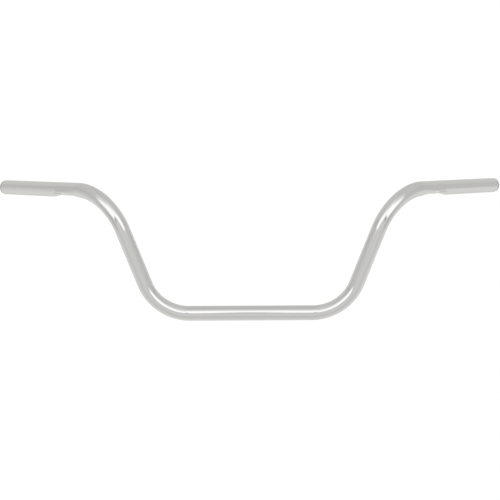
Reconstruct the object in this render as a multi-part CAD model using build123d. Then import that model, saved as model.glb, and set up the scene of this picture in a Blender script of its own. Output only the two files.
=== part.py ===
"""Pulled-back motorcycle handlebar: one bent one-inch steel tube, with a push-in plastic plug in each open end.

Frame: the origin is on the tube's axis at the middle of the clamp flat. +X runs along the clamp flat towards one
grip, +Y is the way the grips are swept back, towards the rider, and +Z is up, in the plane of the legs. Sizes are in
millimetres and degrees. The +X half is modelled, and the -X half is its mirror image.
"""

import os
from math import cos, radians, sin, tan

from build123d import *

# Tube stock
TUBE_R = 25.4 / 2  # one inch outside, the size that one-inch risers, grips and controls fit
TUBE_WALL = 2.5
BORE_R = TUBE_R - TUBE_WALL
END_ROUNDING = 1.6  # outer edge of each open end, broken and polished over

# Path of the tube's axis, from the middle of the bar outwards
CLAMP_FLAT = 207.0  # the straight that the risers clamp, from bend to bend
BEND_R = 80.0  # all four bends come off one former
RISE_ANGLE = 69.5  # of the leg above the clamp flat
RISE_RUN = 101.0
SWEEP_BACK = 44.5  # of the grip, seen from above
GRIP_DROOP = 8.0  # of the grip below the horizontal
GRIP_RUN = 206.0  # from the upper bend to the tube's open end

# Wiring dimple, pressed in under the inboard end of the grip's run, where the switch housing's wires come out
PUNCH_R = 40.0
PUNCH_NOSE_R = 20.0  # rounding of the edge that goes in first
DIMPLE_DEPTH = 5.8
DIMPLE_FORWARD = 22.0  # how far round it sits from the grip's underside, towards the front
DIMPLE_DEEP_FROM = 152.0  # from the tube's open end
DIMPLE_DEEP_TO = 168.0
DIMPLE_FADE_R = 93.0  # the punch leaves the tube along an arc of this radius
DIMPLE_FADE_TURN = 35.0

# Push-in end plug
HEAD_R = 12.2  # under the tube's own radius, so that a grip or a throttle sleeve slides over it
HEAD_THICK = 2.0
HEAD_ROUNDING = 1.2
DISH_R = 6.5
DISH_DEPTH = 0.5
SHANK_R = 8.4
SHANK_LENGTH = 16.0
SHANK_BORE_R = 6.4
RIB_R = BORE_R - 0.02
RIB_THICK = 1.5
RIB_COUNT = 4
RIB_PITCH = 3.4
FIRST_RIB = 2.6  # from the tube's end to the first rib

RISE_DIR = Vector(cos(radians(RISE_ANGLE)), 0, sin(radians(RISE_ANGLE)))
GRIP_DIR = Vector(
    cos(radians(SWEEP_BACK)) * cos(radians(GRIP_DROOP)),
    sin(radians(SWEEP_BACK)) * cos(radians(GRIP_DROOP)),
    -sin(radians(GRIP_DROOP)),
)


class Bend:
    """Arc of a path that comes in along one unit direction and leaves along another."""

    def __init__(self, start, arriving, leaving, radius):
        turn = arriving.get_angle(leaving)
        self.start = start
        self.arriving = arriving
        self.turn = turn
        self.inward = (leaving - arriving * arriving.dot(leaving)).normalized()
        self.axis = Axis(start + self.inward * radius, arriving.cross(leaving))
        self.end = start + (arriving + leaving) * (radius * tan(radians(turn / 2)))


LOWER_BEND = Bend(Vector(CLAMP_FLAT / 2, 0, 0), Vector(1, 0, 0), RISE_DIR, BEND_R)
UPPER_BEND = Bend(LOWER_BEND.end + RISE_DIR * RISE_RUN, RISE_DIR, GRIP_DIR, BEND_R)
TUBE_END = UPPER_BEND.end + GRIP_DIR * GRIP_RUN


def rod(start, direction, length, radius):
    """Solid round bar of the given length, from start along direction."""
    bar = Cylinder(radius, length, align=(Align.CENTER, Align.CENTER, Align.MIN))
    return Plane(origin=start, z_dir=direction) * bar


def bent_rod(bend, radius):
    """Solid round bar that follows one bend."""
    section = Plane(origin=bend.start, z_dir=bend.arriving) * Circle(radius)
    return revolve(section, bend.axis, bend.turn)


def mirrored(solid):
    """The same thing on the -X half."""
    return mirror(solid, about=Plane.YZ)


def bar_core(radius, grip_rod):
    """Solid round bar along the whole path, with the given solid as its +X grip run."""
    outer_half = bent_rod(LOWER_BEND, radius)
    outer_half += rod(LOWER_BEND.end, RISE_DIR, RISE_RUN, radius)
    outer_half += bent_rod(UPPER_BEND, radius)
    outer_half += grip_rod
    clamp_flat = rod(Vector(-CLAMP_FLAT / 2, 0, 0), Vector(1, 0, 0), CLAMP_FLAT, radius)
    return clamp_flat + outer_half + mirrored(outer_half)


def rounded_grip_rod():
    """Outside of the +X grip run, with its open end's edge rounded."""
    grip = rod(UPPER_BEND.end, GRIP_DIR, GRIP_RUN, TUBE_R)
    end_face = grip.faces().sort_by(Axis(UPPER_BEND.end, GRIP_DIR))[-1]
    return fillet(end_face.edges(), END_ROUNDING)


def dimple_direction():
    """From the +X grip's axis to the middle of its dimple, square to the grip."""
    down = (Vector(0, 0, -1) + GRIP_DIR * GRIP_DIR.Z).normalized()
    forward = down.cross(GRIP_DIR)
    return down * cos(radians(DIMPLE_FORWARD)) + forward * sin(radians(DIMPLE_FORWARD))


def dimple_punch(growth):
    """Round punch of the +X dimple, grown all over: level along the grip, then curving away from the tube."""
    radius = PUNCH_R + growth
    nose_radius = PUNCH_NOSE_R + growth
    inboard = GRIP_DIR * -1
    to_punch = dimple_direction()
    axis_start = TUBE_END + to_punch * (TUBE_R - DIMPLE_DEPTH + PUNCH_R)
    tip = axis_start + inboard * (DIMPLE_DEEP_FROM - nose_radius)
    level_end = axis_start + inboard * DIMPLE_DEEP_TO
    level_run = rod(tip, inboard, (level_end - tip).length, radius)
    tip_face = level_run.faces().sort_by(Axis(tip, inboard))[0]
    level_run = fillet(tip_face.edges(), nose_radius)
    leaving = inboard * cos(radians(DIMPLE_FADE_TURN)) + to_punch * sin(radians(DIMPLE_FADE_TURN))
    fade = Bend(level_end, inboard, leaving, DIMPLE_FADE_R)
    return level_run + bent_rod(fade, radius)


def bar_tube():
    """The bent tube. The dimples push its bore in as far as its outside, so the wall stays whole."""
    outside = bar_core(TUBE_R, rounded_grip_rod())
    bore = bar_core(BORE_R, rod(UPPER_BEND.end, GRIP_DIR, GRIP_RUN + TUBE_WALL, BORE_R))
    outer_punch = dimple_punch(0)
    bore_punch = dimple_punch(TUBE_WALL)
    outside -= [outer_punch, mirrored(outer_punch)]
    bore -= [bore_punch, mirrored(bore_punch)]
    return outside - bore


def end_plug():
    """Plug for the +X end: a domed head on the tube's end, and a hollow ribbed shank in the bore."""
    head = Cylinder(HEAD_R, HEAD_THICK, align=(Align.CENTER, Align.CENTER, Align.MIN))
    head = fillet(head.faces().sort_by(Axis.Z)[-1].edges(), HEAD_ROUNDING)
    head -= Pos(0, 0, HEAD_THICK) * Cylinder(DISH_R, 2 * DISH_DEPTH)
    plug = head + Cylinder(SHANK_R, SHANK_LENGTH, align=(Align.CENTER, Align.CENTER, Align.MAX))
    for number in range(RIB_COUNT):
        rib = Cone(SHANK_R, RIB_R, RIB_THICK, align=(Align.CENTER, Align.CENTER, Align.MAX))
        plug += Pos(0, 0, -FIRST_RIB - number * RIB_PITCH) * rib
    plug -= Cylinder(SHANK_BORE_R, SHANK_LENGTH, align=(Align.CENTER, Align.CENTER, Align.MAX))
    return Plane(origin=TUBE_END, z_dir=GRIP_DIR) * plug


def main():
    os.makedirs("parts", exist_ok=True)
    right_plug = end_plug()
    export_step(bar_tube(), "parts/bar_tube.step")
    export_step(right_plug, "parts/end_plug_right.step")
    export_step(mirrored(right_plug), "parts/end_plug_left.step")


main()
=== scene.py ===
"""Looks of the pulled-back motorcycle handlebar: chrome tube, black end plugs, and a plain white studio."""

from math import cos, pi, radians, sin, tan

import bpy
import numpy as np
from mathutils import Matrix


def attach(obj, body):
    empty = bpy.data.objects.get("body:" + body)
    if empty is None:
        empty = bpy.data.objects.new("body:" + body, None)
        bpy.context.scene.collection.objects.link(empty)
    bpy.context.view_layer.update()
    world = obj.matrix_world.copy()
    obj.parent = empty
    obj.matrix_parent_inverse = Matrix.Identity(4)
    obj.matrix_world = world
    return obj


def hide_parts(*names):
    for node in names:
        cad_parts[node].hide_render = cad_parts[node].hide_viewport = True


MM = 0.001  # the shapes below are worked out in millimetres

# The bar, as in the CAD part
TUBE_R = 12.7
TUBE_WALL = 2.5
BORE_R = TUBE_R - TUBE_WALL
END_ROUNDING = 1.6
CLAMP_FLAT = 207.0
BEND_R = 80.0
RISE_ANGLE = radians(69.5)
RISE_RUN = 101.0
SWEEP_BACK = radians(44.5)
GRIP_DROOP = radians(8.0)
GRIP_RUN = 206.0
PUNCH_R = 40.0
PUNCH_NOSE_R = 20.0
DIMPLE_DEPTH = 5.8
DIMPLE_FORWARD = radians(22.0)
DIMPLE_DEEP_FROM = 152.0
DIMPLE_DEEP_TO = 168.0
DIMPLE_FADE_R = 93.0

# End plug, as in the CAD part
HEAD_R = 12.2
HEAD_THICK = 2.0
HEAD_ROUNDING = 1.2
DISH_R = 6.5
DISH_DEPTH = 0.5
SHANK_R = 8.4
SHANK_LENGTH = 16.0
SHANK_BORE_R = 6.4
RIB_R = BORE_R - 0.02
RIB_THICK = 1.5
RIB_COUNT = 4
RIB_PITCH = 3.4
FIRST_RIB = 2.6

# What the looks add to the shapes
INSET = 0.04  # keeps the looks just inside the CAD part
BORE_EDGE = 0.25  # the bore's edge at each open end is broken by this much
DIMPLE_LIP_BLEND = 2.6  # the pressed lips are soft
FLANK_TURN = radians(88.0)  # from the dimple's middle to the flank beside it, which the pressing flattens
FLANK_FLAT = 0.35
FLANK_SPAN = (150.0, 160.0, 200.0, 226.0)  # from the open end: where the flat begins, is full, and ends
FLANK_BLEND = 0.5
FLANK_END_COSINE = 0.2  # the flat's line is followed no further round the section than this
LIP_BULGE = 1.0  # how far the flank is squeezed out at the dimple's lip
LIP_SOFTNESS = 0.08  # in radians round the section
BEND_OVAL = 0.03  # how much the tube flattens in the plane of each bend, as a share of its radius
BEND_OVAL_FADE = 0.8  # under 1, so the flattening comes in early in the bend
GATE_R = 0.8  # nub in the plug's dish, where the plastic was let into the mould
GATE_HEIGHT = 0.25
PLUG_EDGE = 0.12  # the plug's small edges are broken by this much

# How finely the meshes are cut
AROUND = 96
STRAIGHT_STEP = 5.0
BEND_STEP = 2.0
DIMPLE_STEP = 1.5
ROUNDING_STEPS = 10
EDGE_STEPS = 4
BORE_SKIP = 3  # the bore has one ring for every three outside
SHARP_EDGE = radians(35.0)  # edges that turn by more than this are shaded sharp

# Materials
CHROME = (0.585, 0.583, 0.580)
CHROME_RIM = 0.74  # how much of the full reflection is left where the plate is seen edge on
BORE_STEEL = (0.28, 0.26, 0.24)
PLASTIC = (0.016, 0.016, 0.017)
NOISE_SPAN = (0.3, 0.7)  # nearly all of a noise lies between these

# Camera, in metres and degrees: it looks down at the bar, so the legs lean towards it
CAMERA_PLACE = (-0.0209, -2.4675, 0.8187)
CAMERA_YAW = radians(0.451)
CAMERA_PITCH = radians(-16.0)
CAMERA_ROLL = radians(-0.156)
CAMERA_LENS = 110.3
CAMERA_SENSOR = 36.0
CAMERA_REACH = 200.0

# Floor
FLOOR_DROP = 0.6  # the bar hangs where its risers would hold it
FLOOR_SIZE = 60.0
FLOOR_COLOUR = (0.94, 0.94, 0.935)
FLOOR_LIGHT = 0.31
FLOOR_LIGHT_SPREAD = radians(90.0)


class Patch:
    """Part of the light tent that is lighter or darker than the rest.

    Along x, y and z it may have soft edges, each given as where the patch is gone and where it is full.
    """

    def __init__(self, light, x=(), y=(), z=()):
        self.light = light
        self.edges = (x, y, z)


# The light tent: the light in each direction from the bar, whose x, y and z run from -1 to 1
CLOTH_LIGHT = 0.86
OVERHEAD_LIGHT = 0.82
OVERHEAD_Z = (0.45, 0.8)
TABLE_LIGHT_IN_FRONT = 0.88
TABLE_LIGHT_BEHIND = 1.14
TABLE_Y = (-0.7, 0.45)
HORIZON_Z = (-0.1, 0.02)
TABLE_DROP = 0.2  # how much lower the table lies at the far right
TABLE_DROP_X = (0.6, 0.9)
TABLE_EDGE_SLOPE = 0.25
BACK_GLOW = Patch(0.24, y=[(0.1, 0.9)], z=[(0.95, 0.1)])
TABLE_EDGE = Patch(-0.18, y=[(-0.68, -0.56), (0.0, -0.2)], z=[(-0.62, -0.54), (-0.3, -0.48)])
FRONT_GLOW = Patch(0.1, y=[(-0.6, -0.95)], z=[(-0.75, -0.3), (0.3, 0.12)])
SIDE_TOP_GLOW = Patch(0.06, x=[(0.04, 0.16)], z=[(0.55, 0.85)])
LEFT_STREAK = Patch(-0.09, x=[(-0.78, -0.93)], z=[(0.06, 0.3), (0.85, 0.5)])
RIGHT_STREAK = Patch(-0.05, x=[(0.78, 0.93)], z=[(0.1, 0.3), (0.9, 0.6)])
LEFT_DIM = Patch(-0.11, x=[(-0.7, -0.95)], z=[(-0.95, -0.12), (0.05, -0.08)])
CLOTH_COLOUR = (1.0, 0.996, 0.976, 1)
BACKGROUND_LIGHT = 1.05  # what the camera sees past the floor

# The soft box in front. Its places are on a flat ahead of the bar, sideways and up per unit of distance
BOX_LIGHT = 0.84
BOX_COLOUR = (0.99, 0.995, 1.01, 1)
BOX_TINT = 1.3  # how soon the box's own colour takes over as its light grows
BOX_HEIGHT = radians(22.0)  # how high its middle stands above the bar's own level
BOX_COSINE = (0.43, 0.84)  # of the angle from its middle: where its light is gone and full
BOX_SIDE = (1.05, 0.52)
BOX_WIDER = 0.55  # how much further it reaches above the table
BOX_WIDER_Z = (0.02, 0.16)
BOX_TOP = (0.5, 1.5)
BOX_TOP_SHARE = 0.3  # of its light is left above that
BOX_TOP_LIFT = 0.5  # how much higher its top is in the middle
BOX_TOP_LIFT_SIDE = (0.15, 0.0)
BOX_FOOT = -0.02
BOX_FOOT_SPAN = (-0.03, 0.05)
TABLE_RIM = 0.40  # how high the table's near rim hides the box; it falls away to each side
TABLE_RIM_LEVEL = 0.08  # how far to each side the rim is level first
CAMERA_SHADOW_PLACE = 0.008
CAMERA_SHADOW_SLOPE = 9.0
CAMERA_SHADOW_TOP = (0.56, 0.64)
STRIP_DARK = 0.65  # dark strip under each side of the box, outside the rim
STRIP_UP = [(-0.13, -0.08), (-0.01, -0.05)]
STRIP_SIDE = [(0.12, 0.2), (0.5, 0.36)]
LEAST_AHEAD = 0.001  # keeps the flat's places finite beside and behind the bar


def unit(vector):
    return vector / np.linalg.norm(vector)


def bend_end(start, arriving, leaving):
    """Where a bend that starts here ends."""
    half_turn = np.arccos(arriving.dot(leaving)) / 2
    return start + (arriving + leaving) * BEND_R * tan(half_turn)


ALONG = np.array([1.0, 0, 0])
BACK = np.array([0, 1.0, 0])
UP = np.array([0, 0, 1.0])
RISE_DIR = np.array([cos(RISE_ANGLE), 0, sin(RISE_ANGLE)])
GRIP_DIR = np.array([
    cos(SWEEP_BACK) * cos(GRIP_DROOP),
    sin(SWEEP_BACK) * cos(GRIP_DROOP),
    -sin(GRIP_DROOP),
])
GRIP_DOWN = unit(GRIP_DIR * GRIP_DIR[2] - UP)
TO_PUNCH = GRIP_DOWN * cos(DIMPLE_FORWARD) + np.cross(GRIP_DOWN, GRIP_DIR) * sin(DIMPLE_FORWARD)
FLAT_END = ALONG * CLAMP_FLAT / 2
LEG_START = bend_end(FLAT_END, ALONG, RISE_DIR)
LEG_END = LEG_START + RISE_DIR * RISE_RUN
GRIP_START = bend_end(LEG_END, RISE_DIR, GRIP_DIR)
TUBE_END = GRIP_START + GRIP_DIR * GRIP_RUN
MIRROR = np.array([-1.0, 1.0, 1.0])


# ---- mesh helpers --------------------------------------------------------------------------------

def mesh_from_rings(name, rings, closed, ring_materials, materials):
    """Mesh of rings of points, each joined to the next. An open stack gets a cap at each end."""
    count, around = rings.shape[:2]
    faces = []
    for ring in range(count if closed else count - 1):
        here = ring * around
        after = (ring + 1) % count * around
        for k in range(around):
            turn = (k + 1) % around
            faces.append((here + k, here + turn, after + turn, after + k))
    face_materials = list(np.repeat(ring_materials, around))
    if not closed:
        faces.append(tuple(reversed(range(around))))
        faces.append(tuple((count - 1) * around + k for k in range(around)))
        face_materials += [0, 0]
    mesh = bpy.data.meshes.new(name)
    mesh.from_pydata((rings.reshape(-1, 3) * MM).tolist(), [], faces)
    for material in materials:
        mesh.materials.append(material)
    mesh.polygons.foreach_set("material_index", face_materials)
    mesh.polygons.foreach_set("use_smooth", [True] * len(faces))
    mesh.set_sharp_from_angle(angle=SHARP_EDGE)
    mesh.validate()
    piece = bpy.data.objects.new(name, mesh)
    bpy.context.scene.collection.objects.link(piece)
    return piece


def directions_round(across, upward):
    """Unit directions round a section, from its two axes."""
    angles = np.arange(AROUND) * 2 * pi / AROUND
    return np.outer(np.cos(angles), across) + np.outer(np.sin(angles), upward)


def smooth_min(a, b, width):
    """The lesser of a and b, with a fillet where they cross."""
    blend = np.maximum(width - np.abs(a - b), 0) / width
    return np.minimum(a, b) - blend * blend * width / 4


def eased(value, low, high):
    """0 below low, 1 above high, and smooth between."""
    share = np.clip((value - low) / (high - low), 0, 1)
    return share * share * (3 - 2 * share)


def turned(vector, axis, angle):
    """Vector turned about a unit axis."""
    kept = axis * axis.dot(vector)
    return kept + (vector - kept) * cos(angle) + np.cross(axis, vector) * sin(angle)


# ---- the tube ------------------------------------------------------------------------------------

class Station:
    """One cross-section of the +X half: its centre, two axes across it, and how far a bend flattens it."""

    def __init__(self, centre, across, upward, inward=None, oval=0.0):
        self.centre = centre
        self.across = across
        self.upward = upward
        self.inward = inward
        self.oval = oval


def straight_stations(start, along, length, across, upward, step):
    steps = int(length / step)
    return [Station(start + along * length * k / steps, across, upward) for k in range(steps)]


def bend_stations(start, arriving, leaving, across, upward):
    """The sections round a bend, whose last is where it ends. The flattening fades in and out."""
    axis = unit(np.cross(arriving, leaving))
    angle = np.arccos(arriving.dot(leaving))
    to_centre = np.cross(axis, arriving)
    centre = start + to_centre * BEND_R
    steps = int(BEND_R * angle / BEND_STEP)
    stations = []
    for k in range(steps + 1):
        turn = angle * k / steps
        stations.append(Station(
            centre + turned(start - centre, axis, turn),
            turned(across, axis, turn),
            turned(upward, axis, turn),
            turned(to_centre, axis, turn),
            BEND_OVAL * sin(pi * k / steps) ** BEND_OVAL_FADE,
        ))
    return stations


def half_path():
    """Stations from the middle of the bar to its +X open end, and the end itself."""
    stations = straight_stations(np.zeros(3), ALONG, CLAMP_FLAT / 2, BACK, UP, STRAIGHT_STEP)
    *bend, end = bend_stations(FLAT_END, ALONG, RISE_DIR, BACK, UP)
    stations += bend
    stations += straight_stations(LEG_START, RISE_DIR, RISE_RUN, end.across, end.upward, STRAIGHT_STEP)
    *bend, end = bend_stations(LEG_END, RISE_DIR, GRIP_DIR, end.across, end.upward)
    stations += bend
    grip_run = GRIP_RUN - END_ROUNDING
    stations += straight_stations(GRIP_START, GRIP_DIR, grip_run, end.across, end.upward, DIMPLE_STEP)
    return stations, Station(TUBE_END, end.across, end.upward)


class Pressing:
    """The dimple's punch, grown all over, where it crosses one section."""

    def __init__(self, station, growth):
        self.from_end = (TUBE_END - station.centre).dot(GRIP_DIR)
        off_line = (station.centre - TUBE_END).dot(TO_PUNCH)
        before = max(DIMPLE_DEEP_FROM - self.from_end, 0.0)
        beyond = max(self.from_end - DIMPLE_DEEP_TO, 0.0)
        nose_radius = PUNCH_NOSE_R + growth
        fade_radius = DIMPLE_FADE_R + PUNCH_R + growth
        self.present = before < nose_radius and beyond < DIMPLE_FADE_R
        if self.present:
            self.radius = PUNCH_R - PUNCH_NOSE_R + (nose_radius ** 2 - before ** 2) ** 0.5
            lift = fade_radius - (fade_radius ** 2 - beyond ** 2) ** 0.5
            self.away = TUBE_R - DIMPLE_DEPTH + PUNCH_R + lift - off_line

    def reach(self, toward):
        """How far the punch lets the wall reach, for each direction round the section."""
        inside = self.radius ** 2 - self.away ** 2 * (1 - toward ** 2)
        hit = (inside > 0) & (toward > 0)
        unhindered = 2 * TUBE_R
        return np.where(hit, self.away * toward - np.sqrt(np.where(hit, inside, 0)), unhindered)

    def depth_share(self):
        """How deep the dimple is here, as a share of its greatest depth."""
        return np.clip((TUBE_R - self.away + self.radius) / DIMPLE_DEPTH, 0, 1)

    def flank_share(self):
        """How far the flank beside the dimple is flattened here."""
        begins, full, still_full, ends = FLANK_SPAN
        return eased(self.from_end, begins, full) * (1 - eased(self.from_end, still_full, ends))


def flank_change(toward, squeezed):
    """How far the pressing moves the wall beside the dimple: flatter, but squeezed out at the lip."""
    from_flank = np.arccos(np.clip(toward, -1, 1)) - FLANK_TURN
    flat = (TUBE_R - FLANK_FLAT) / np.maximum(np.cos(from_flank), FLANK_END_COSINE) - TUBE_R
    limit = LIP_BULGE * squeezed / (1 + np.exp(from_flank / LIP_SOFTNESS))
    return smooth_min(flat, limit, FLANK_BLEND)


def ring_at(station, radius, growth=0.0, axial=0.0):
    """Points round one section, flattened in a bend, and pushed in at the dimple by the grown punch."""
    directions = directions_round(station.across, station.upward)
    reach = np.full(AROUND, radius)
    if station.inward is not None:
        reach = reach * (1 - station.oval * (directions @ station.inward) ** 2)
    pressing = Pressing(station, growth)
    if pressing.present:
        toward = directions @ TO_PUNCH
        reach = reach + pressing.flank_share() * flank_change(toward, pressing.depth_share())
        reach = smooth_min(reach, pressing.reach(toward), DIMPLE_LIP_BLEND)
    return station.centre + directions * reach[:, None] + GRIP_DIR * axial


def end_rings(end):
    """The rounded outer edge of the open end, its flat land, and the broken edge of the bore."""
    rings = []
    for k in range(ROUNDING_STEPS + 1):
        turn = pi / 2 * k / ROUNDING_STEPS
        radius = TUBE_R - INSET - END_ROUNDING + END_ROUNDING * cos(turn)
        rings.append(ring_at(end, radius, axial=END_ROUNDING * (sin(turn) - 1)))
    rings.append(ring_at(end, BORE_R + BORE_EDGE))
    rings.append(ring_at(end, BORE_R, axial=-BORE_EDGE))
    return rings


def tube_rings():
    """Closed loop of rings: along the outside, round one end, back along the bore, and round the other."""
    stations, end = half_path()
    outside = [ring_at(station, TUBE_R - INSET) for station in stations] + end_rings(end)
    bore = [ring_at(station, BORE_R, TUBE_WALL) for station in stations[::BORE_SKIP]][::-1]
    half = outside + bore
    # the first and last rings of the half lie in the mirror plane, and are shared
    rings = half + [ring * MIRROR for ring in half[-2:0:-1]]
    in_bore = [0] * (len(outside) - 1) + [1] * len(bore)
    return np.array(rings), in_bore + in_bore[::-1]


# ---- the plugs -----------------------------------------------------------------------------------

def rounded(centre_r, centre_h, radius, from_turn, to_turn, steps):
    """Points of an arc in a turned profile, as radius and height."""
    turns = [radians(from_turn + (to_turn - from_turn) * k / steps) for k in range(steps + 1)]
    return [(centre_r + radius * cos(turn), centre_h + radius * sin(turn)) for turn in turns]


def plug_profile():
    """The plug's section, from its gate nub over the head, down the ribbed shank, and up inside it."""
    top = HEAD_THICK - INSET
    floor = top - DISH_DEPTH
    hollow = 2 * PLUG_EDGE
    gate_top = floor + GATE_HEIGHT
    profile = [(GATE_R - PLUG_EDGE, gate_top), (GATE_R, gate_top - PLUG_EDGE), (GATE_R, floor)]
    profile += rounded(DISH_R - hollow, floor + hollow, hollow, -90, 0, EDGE_STEPS)
    profile += rounded(DISH_R + PLUG_EDGE, top - PLUG_EDGE, PLUG_EDGE, 180, 90, EDGE_STEPS)
    profile += rounded(HEAD_R - HEAD_ROUNDING, top - HEAD_ROUNDING, HEAD_ROUNDING, 90, 0, ROUNDING_STEPS)
    profile += rounded(HEAD_R - PLUG_EDGE, PLUG_EDGE, PLUG_EDGE, 0, -90, EDGE_STEPS)
    profile.append((SHANK_R, 0))
    for number in range(RIB_COUNT):
        rib_top = -FIRST_RIB - number * RIB_PITCH
        profile += [(SHANK_R, rib_top), (RIB_R - PLUG_EDGE, rib_top)]
        profile += [(RIB_R, rib_top - PLUG_EDGE), (SHANK_R, rib_top - RIB_THICK)]
    profile += rounded(SHANK_R - PLUG_EDGE, PLUG_EDGE - SHANK_LENGTH, PLUG_EDGE, 0, -90, EDGE_STEPS)
    profile += [(SHANK_BORE_R, -SHANK_LENGTH), (SHANK_BORE_R, 0)]
    return profile


def plug_rings():
    """The +X plug's profile, turned round the grip's axis."""
    directions = directions_round(unit(np.cross(GRIP_DIR, TO_PUNCH)), TO_PUNCH)
    rings = [TUBE_END + directions * radius + GRIP_DIR * height for radius, height in plug_profile()]
    return np.array(rings)


# ---- nodes ---------------------------------------------------------------------------------------

class Nodes:
    """Short calls that add nodes to a tree."""

    def __init__(self, tree):
        self.tree = tree

    def add(self, kind, **settings):
        node = self.tree.nodes.new(kind)
        for name, value in settings.items():
            setattr(node, name, value)
        return node

    def link(self, output, socket):
        self.tree.links.new(output, socket)

    def math(self, operation, *values):
        node = self.add("ShaderNodeMath", operation=operation)
        for socket, value in zip(node.inputs, values):
            if isinstance(value, (int, float)):
                socket.default_value = value
            else:
                self.link(value, socket)
        return node.outputs[0]

    def plus(self, first, *others):
        for other in others:
            first = self.math("ADD", first, other)
        return first

    def minus(self, value, taken):
        return self.math("SUBTRACT", value, taken)

    def times(self, first, *others):
        for other in others:
            first = self.math("MULTIPLY", first, other)
        return first

    def absolute(self, value):
        """Value without its sign."""
        return self.math("ABSOLUTE", value)

    def ramp(self, value, span, at_first=0.0, at_last=1.0):
        """Value eased from at_first to at_last between the ends of span, whichever of them is higher."""
        node = self.add("ShaderNodeMapRange", interpolation_type="SMOOTHSTEP")
        self.link(value, node.inputs["Value"])
        numbers = {"From Min": span[0], "From Max": span[1], "To Min": at_first, "To Max": at_last}
        for name, number in numbers.items():
            node.inputs[name].default_value = number
        return node.outputs[0]

    def patch(self, patch, *places):
        """Light of a patch, from the places along x, y and z."""
        shares = [self.ramp(place, edge) for place, edges in zip(places, patch.edges) for edge in edges]
        return self.times(*shares, patch.light)

    def blend(self, share, at_zero, at_one):
        """From one value to another, by share."""
        return self.plus(at_zero, self.times(share, self.minus(at_one, at_zero)))

    def noise(self, scale, detail):
        """Noise fixed to the object, scale to the metre."""
        node = self.add("ShaderNodeTexNoise")
        self.link(self.add("ShaderNodeTexCoord").outputs["Object"], node.inputs["Vector"])
        node.inputs["Scale"].default_value = scale
        node.inputs["Detail"].default_value = detail
        return node.outputs["Fac"]


# ---- materials -----------------------------------------------------------------------------------

def new_material(name, colour, roughness, metallic=0.0):
    """A material with one colour, its node helper and its shader."""
    material = bpy.data.materials.new(name)
    material.use_nodes = True
    shader = material.node_tree.nodes["Principled BSDF"]
    shader.inputs["Base Color"].default_value = (*colour, 1)
    shader.inputs["Roughness"].default_value = roughness
    shader.inputs["Metallic"].default_value = metallic
    return material, Nodes(material.node_tree), shader


def chrome_plate():
    """Bright plate, very slightly cloudy from one hand's breadth to the next."""
    material, nodes, shader = new_material("chrome_plate", CHROME, roughness=0.05, metallic=1.0)
    shader.inputs["Specular Tint"].default_value = (CHROME_RIM, CHROME_RIM, CHROME_RIM, 1)
    clouds = nodes.ramp(nodes.noise(scale=14.0, detail=3.0), NOISE_SPAN, at_first=0.035, at_last=0.065)
    nodes.link(clouds, shader.inputs["Roughness"])
    return material


def bore_steel():
    return new_material("bore_steel", BORE_STEEL, roughness=0.45, metallic=1.0)[0]


def plug_plastic():
    """Black moulded plastic with a fine grain, worn a little smoother in places."""
    material, nodes, shader = new_material("plug_plastic", PLASTIC, roughness=0.42)
    bump = nodes.add("ShaderNodeBump")
    bump.inputs["Strength"].default_value = 0.35
    bump.inputs["Distance"].default_value = 0.2 * MM
    nodes.link(nodes.noise(scale=2200.0, detail=2.0), bump.inputs["Height"])
    nodes.link(bump.outputs["Normal"], shader.inputs["Normal"])
    wear = nodes.ramp(nodes.noise(scale=300.0, detail=3.0), NOISE_SPAN, at_first=0.36, at_last=0.5)
    nodes.link(wear, shader.inputs["Roughness"])
    return material


# ---- pieces --------------------------------------------------------------------------------------

def make_tube():
    rings, in_bore = tube_rings()
    tube = mesh_from_rings("chromed_tube", rings, True, in_bore, [chrome_plate(), bore_steel()])
    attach(tube, "root")
    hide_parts("bar_tube")


def make_plugs():
    plastic = plug_plastic()
    rings = plug_rings()
    for side, placed in (("right", rings), ("left", (rings * MIRROR)[:, ::-1])):
        plug = mesh_from_rings(f"{side}_end_plug", placed, False, [0] * (len(rings) - 1), [plastic])
        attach(plug, "root")
        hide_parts(f"end_plug_{side}")


# ---- the studio ----------------------------------------------------------------------------------

def make_floor():
    """White floor. The chrome reflects the tent instead of it, as it would under a close light tent."""
    mesh = bpy.data.meshes.new("studio_floor")
    half = FLOOR_SIZE / 2
    corners = [(x * half, y * half, -FLOOR_DROP) for x, y in ((-1, -1), (1, -1), (1, 1), (-1, 1))]
    mesh.from_pydata(corners, [], [(0, 1, 2, 3)])
    floor = bpy.data.objects.new("studio_floor", mesh)
    bpy.context.scene.collection.objects.link(floor)
    mesh.materials.append(new_material("studio_floor", FLOOR_COLOUR, roughness=0.9)[0])
    floor.visible_glossy = False


def make_floor_light():
    """Even light from above that whitens the floor, and isn't reflected in the chrome."""
    light = bpy.data.lights.new("floor_light", "SUN")
    light.energy = FLOOR_LIGHT
    light.angle = FLOOR_LIGHT_SPREAD
    lamp = bpy.data.objects.new("floor_light", light)
    lamp.visible_glossy = False
    bpy.context.scene.collection.objects.link(lamp)


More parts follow.
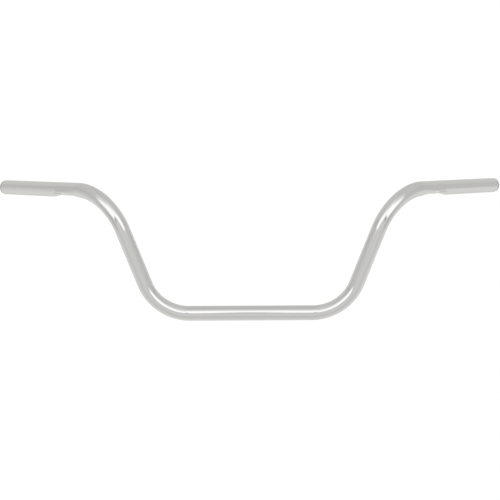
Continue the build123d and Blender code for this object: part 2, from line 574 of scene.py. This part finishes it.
class LightTent:
    """Light in each direction from the bar, worked out with nodes."""

    def __init__(self, nodes):
        self.n = nodes
        direction = nodes.add("ShaderNodeSeparateXYZ")
        nodes.link(nodes.add("ShaderNodeTexCoord").outputs["Generated"], direction.inputs[0])
        self.x, self.y, self.z = direction.outputs
        ahead = nodes.math("MAXIMUM", nodes.times(self.y, -1.0), LEAST_AHEAD)
        self.across = nodes.math("DIVIDE", self.x, ahead)
        self.sideways = nodes.absolute(self.across)
        self.upwards = nodes.math("DIVIDE", self.z, ahead)
        past_level = nodes.math("MAXIMUM", self.sideways, TABLE_RIM_LEVEL)
        self.over_rim = nodes.minus(nodes.plus(self.upwards, past_level), TABLE_RIM)

    def cloth_and_table(self):
        """White cloth above the horizon and a white table below it, with lighter and darker patches."""
        n, x, y, z = self.n, self.x, self.y, self.z
        cloth = n.plus(n.ramp(z, OVERHEAD_Z, CLOTH_LIGHT, OVERHEAD_LIGHT), n.patch(BACK_GLOW, x, y, z))
        table = n.ramp(y, TABLE_Y, TABLE_LIGHT_IN_FRONT, TABLE_LIGHT_BEHIND)
        over_table = n.plus(z, n.ramp(x, TABLE_DROP_X, 0.0, TABLE_DROP))
        tent = n.blend(n.ramp(over_table, HORIZON_Z), table, cloth)
        edge_line = n.plus(z, n.times(y, TABLE_EDGE_SLOPE))
        tent = n.plus(tent, n.patch(TABLE_EDGE, x, y, edge_line))
        tent = n.plus(tent, n.patch(SIDE_TOP_GLOW, n.absolute(x), y, z))
        for patch in (FRONT_GLOW, LEFT_STREAK, RIGHT_STREAK, LEFT_DIM):
            tent = n.plus(tent, n.patch(patch, x, y, z))
        return tent

    def soft_box(self):
        """The box, brightest in its middle, hidden below the table's rim, and with a gap for the camera."""
        n = self.n
        to_middle = n.minus(n.times(self.z, sin(BOX_HEIGHT)), n.times(self.y, cos(BOX_HEIGHT)))
        over_foot = n.math("MINIMUM", self.over_rim, n.minus(self.upwards, BOX_FOOT))
        box_top = n.minus(self.upwards, n.ramp(self.sideways, BOX_TOP_LIFT_SIDE, 0.0, BOX_TOP_LIFT))
        spread = n.minus(self.sideways, n.ramp(self.z, BOX_WIDER_Z, 0.0, BOX_WIDER))
        off_camera = n.absolute(n.minus(self.across, CAMERA_SHADOW_PLACE))
        over_camera = n.plus(self.upwards, n.times(off_camera, CAMERA_SHADOW_SLOPE))
        return n.times(
            n.ramp(to_middle, BOX_COSINE, 0.0, BOX_LIGHT),
            n.ramp(over_foot, BOX_FOOT_SPAN),
            n.ramp(box_top, BOX_TOP, 1.0, BOX_TOP_SHARE),
            n.ramp(spread, BOX_SIDE),
            n.ramp(over_camera, CAMERA_SHADOW_TOP),
        )

    def dark_strip(self):
        """What the table's rim shades, under each side of the box."""
        shares = [self.n.ramp(self.over_rim, edge) for edge in STRIP_UP]
        shares += [self.n.ramp(self.sideways, edge) for edge in STRIP_SIDE]
        return self.n.times(*shares, STRIP_DARK)


def make_world():
    """Light tent round the bar. The camera sees plain white past the floor."""
    world = bpy.data.worlds.new("light_tent")
    world.use_nodes = True
    bpy.context.scene.world = world
    n = Nodes(world.node_tree)
    tent = LightTent(n)
    box = tent.soft_box()
    light = n.minus(n.plus(tent.cloth_and_table(), box), tent.dark_strip())
    seen_directly = n.add("ShaderNodeLightPath").outputs["Is Camera Ray"]
    background = world.node_tree.nodes["Background"]
    n.link(n.blend(seen_directly, light, BACKGROUND_LIGHT), background.inputs["Strength"])
    tint = n.add("ShaderNodeMix", data_type="RGBA")
    n.link(n.math("MINIMUM", n.times(box, BOX_TINT), 1.0), tint.inputs["Factor"])
    tint.inputs["A"].default_value = CLOTH_COLOUR
    tint.inputs["B"].default_value = BOX_COLOUR
    n.link(tint.outputs["Result"], background.inputs["Color"])


def make_camera():
    camera = bpy.data.objects.new("camera", bpy.data.cameras.new("camera"))
    bpy.context.scene.collection.objects.link(camera)
    camera.data.lens = CAMERA_LENS
    camera.data.sensor_width = CAMERA_SENSOR
    camera.data.clip_end = CAMERA_REACH
    camera.matrix_world = (
        Matrix.Translation(CAMERA_PLACE)
        @ Matrix.Rotation(-CAMERA_YAW, 4, "Z")
        @ Matrix.Rotation(pi / 2 + CAMERA_PITCH, 4, "X")
        @ Matrix.Rotation(CAMERA_ROLL, 4, "Z")
    )
    bpy.context.scene.camera = camera


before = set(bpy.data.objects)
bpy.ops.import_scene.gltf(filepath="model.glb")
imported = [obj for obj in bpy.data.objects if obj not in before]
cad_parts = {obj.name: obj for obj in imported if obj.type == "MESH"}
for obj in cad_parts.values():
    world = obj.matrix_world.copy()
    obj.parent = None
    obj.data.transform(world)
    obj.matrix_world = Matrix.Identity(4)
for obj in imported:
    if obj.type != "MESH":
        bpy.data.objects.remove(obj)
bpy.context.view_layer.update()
bpy.context.scene.view_settings.view_transform = "Standard"
make_camera()
make_world()
make_floor()
make_floor_light()
make_tube()
make_plugs()
